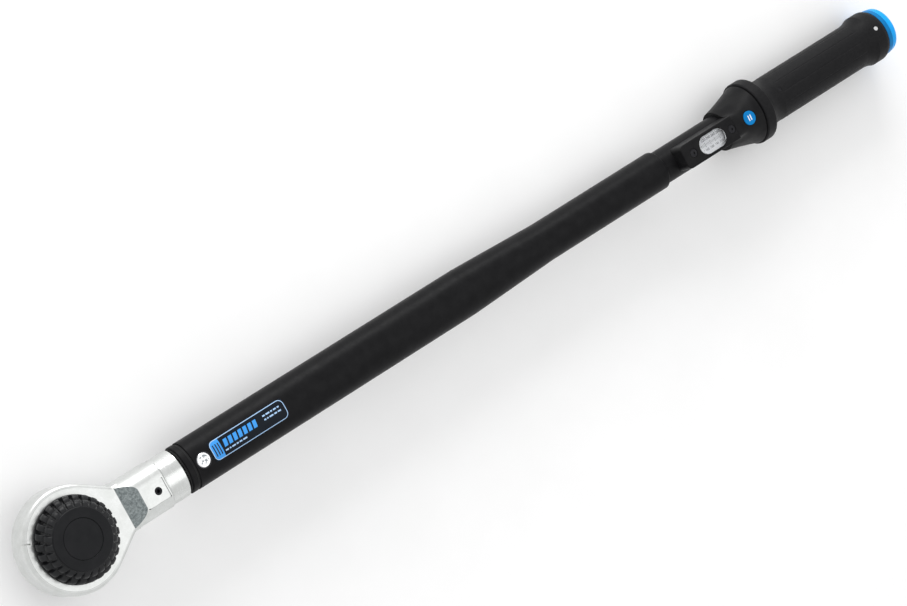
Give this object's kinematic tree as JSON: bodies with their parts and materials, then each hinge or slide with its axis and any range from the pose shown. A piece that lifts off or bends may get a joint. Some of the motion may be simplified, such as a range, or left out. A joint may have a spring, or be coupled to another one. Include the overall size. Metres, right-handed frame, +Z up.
{
  "type": "click torque wrench",
  "caption": "Long click-type torque wrench: forged ratchet head with lugged mushroom disc and push-through square, oval black tube, scale window and turning grip with a blue lock cap.",
  "frame": {"origin": "centre of the drive square at the plane where a socket seats, the underside of the ratchet head", "axes": "+X along the tool from the drive to the handle end, +Z up the drive axis to the mushroom disc, +Y to the left of the handle seen from above"},
  "size_m": [0.8695, 0.079, 0.0623],
  "materials": {
    "satin_nickel": "satin nickel-plated forging",
    "polished_steel": "polished",
    "machined_steel": "machined steel",
    "hardened_steel": "hardened and oiled steel",
    "black_oxide": "black oxide screws",
    "black_tube": "satin black powder coat",
    "black_plastic": "fine moulded texture",
    "grip_plastic": "soft-touch black",
    "disc_plastic": "moulded black",
    "rubber": "black rubber",
    "lens": "clear magnifying lens",
    "scale_white": "white printed strip",
    "badge_blue": "gloss blue",
    "cap_blue": "gloss light blue",
    "ring_blue": "gloss dark blue",
    "label_print": "printed foil label",
    "brass": "plain bearing brass"
  },
  "bodies": {
    "tube": {"main_tube": "black_tube", "handle_tube": "black_tube", "tube_pin": "black_oxide", "end_ring": "black_plastic", "dust_seal": "rubber", "tube_gasket": "rubber", "pivot_pin": "polished_steel", "pivot_bushes": "black_oxide", "label_plate": "label_print", "scale_housing": "black_plastic", "scale_lens": "lens", "housing_screws": "black_oxide", "indicator_badge": "badge_blue", "end_bush": "brass", "thrust_washers": "hardened_steel", "thrust_balls": "polished_steel", "main_spring": "hardened_steel"},
    "head": {"ratchet_head": "satin_nickel", "cover_plate": "machined_steel", "retaining_ring": "hardened_steel", "head_set_screw": "black_oxide", "pawl_spring": "machined_steel"},
    "pawl": {"pawl": "hardened_steel"},
    "wheel": {"ratchet_wheel": "hardened_steel"},
    "drive": {"square_drive": "satin_nickel", "mushroom_disc": "disc_plastic", "disc_screws": "black_oxide", "release_spring": "machined_steel"},
    "release": {"release_button": "disc_plastic", "release_rod": "machined_steel"},
    "ball": {"detent_ball": "polished_steel"},
    "plunger": {"plunger": "machined_steel"},
    "toggle": {"toggle_link": "hardened_steel"},
    "setting": {"spring_seat": "machined_steel", "push_sleeve": "machined_steel", "adjuster_nut": "brass", "scale_slide": "scale_white", "scale_screw": "machined_steel"},
    "grip": {"grip_sleeve": "grip_plastic", "grip_screw": "black_oxide", "grip_hub": "machined_steel", "hub_pin": "polished_steel", "spindle": "machined_steel"},
    "lock": {"cap_ring": "ring_blue", "cap_o_ring": "rubber", "end_cap": "cap_blue"}
  },
  "joints": [
    {"name": "head_click", "type": "hinge", "parent": "tube", "child": "head", "pos_m": [0.1123, 0, 0.012], "axis": [0, 0, 1], "range_deg": [-2, 2], "stiffness_Nm_per_rad": 600},
    {"name": "pawl_slide", "type": "slide", "parent": "head", "child": "pawl", "axis": [1, 0, 0], "range_m": [0, 0.0029], "stiffness_N_per_m": 300, "springref_m": -0.003, "deforming": ["pawl_spring"]},
    {"name": "ratchet_spin", "type": "hinge", "parent": "head", "child": "wheel", "pos_m": [0, 0, 0], "axis": [0, 0, 1], "continuous": true},
    {"name": "drive_push", "type": "slide", "parent": "wheel", "child": "drive", "axis": [0, 0, 1], "range_m": [0, 0.048]},
    {"name": "release_press", "type": "slide", "parent": "drive", "child": "release", "axis": [0, 0, -1], "range_m": [0, 0.003], "stiffness_N_per_m": 800, "springref_m": -0.003, "deforming": ["release_spring"]},
    {"name": "ball_in", "type": "slide", "parent": "drive", "child": "ball", "axis": [0, -1, 0], "range_m": [0, 0.0015]},
    {"name": "plunger_slide", "type": "slide", "parent": "tube", "child": "plunger", "axis": [1, 0, 0], "range_m": [0, 0.002], "stiffness_N_per_m": 4000, "springref_m": -0.004, "deforming": ["main_spring"]},
    {"name": "toggle_tilt", "type": "hinge", "parent": "plunger", "child": "toggle", "pos_m": [0.2145, 0, 0.012], "axis": [0, 0, 1], "range_deg": [-24, 24]},
    {"name": "grip_turn", "type": "hinge", "parent": "tube", "child": "grip", "pos_m": [0.6724, 0, 0.012], "axis": [1, 0, 0], "range_deg": [-1800, 1800]},
    {"name": "setting_slide", "type": "slide", "parent": "tube", "child": "setting", "axis": [1, 0, 0], "range_m": [-0.0065, 0.0065], "deforming": ["main_spring"]},
    {"name": "lock_pull", "type": "slide", "parent": "grip", "child": "lock", "axis": [1, 0, 0], "range_m": [0, 0.005]}
  ],
  "couplings": [
    {"joint": "ball_in", "follows": "release_press", "ratio": 0.5},
    {"joint": "toggle_tilt", "follows": "head_click", "ratio": -11.775},
    {"joint": "setting_slide", "follows": "grip_turn", "m_per_rad": 0.0002069}
  ]
}
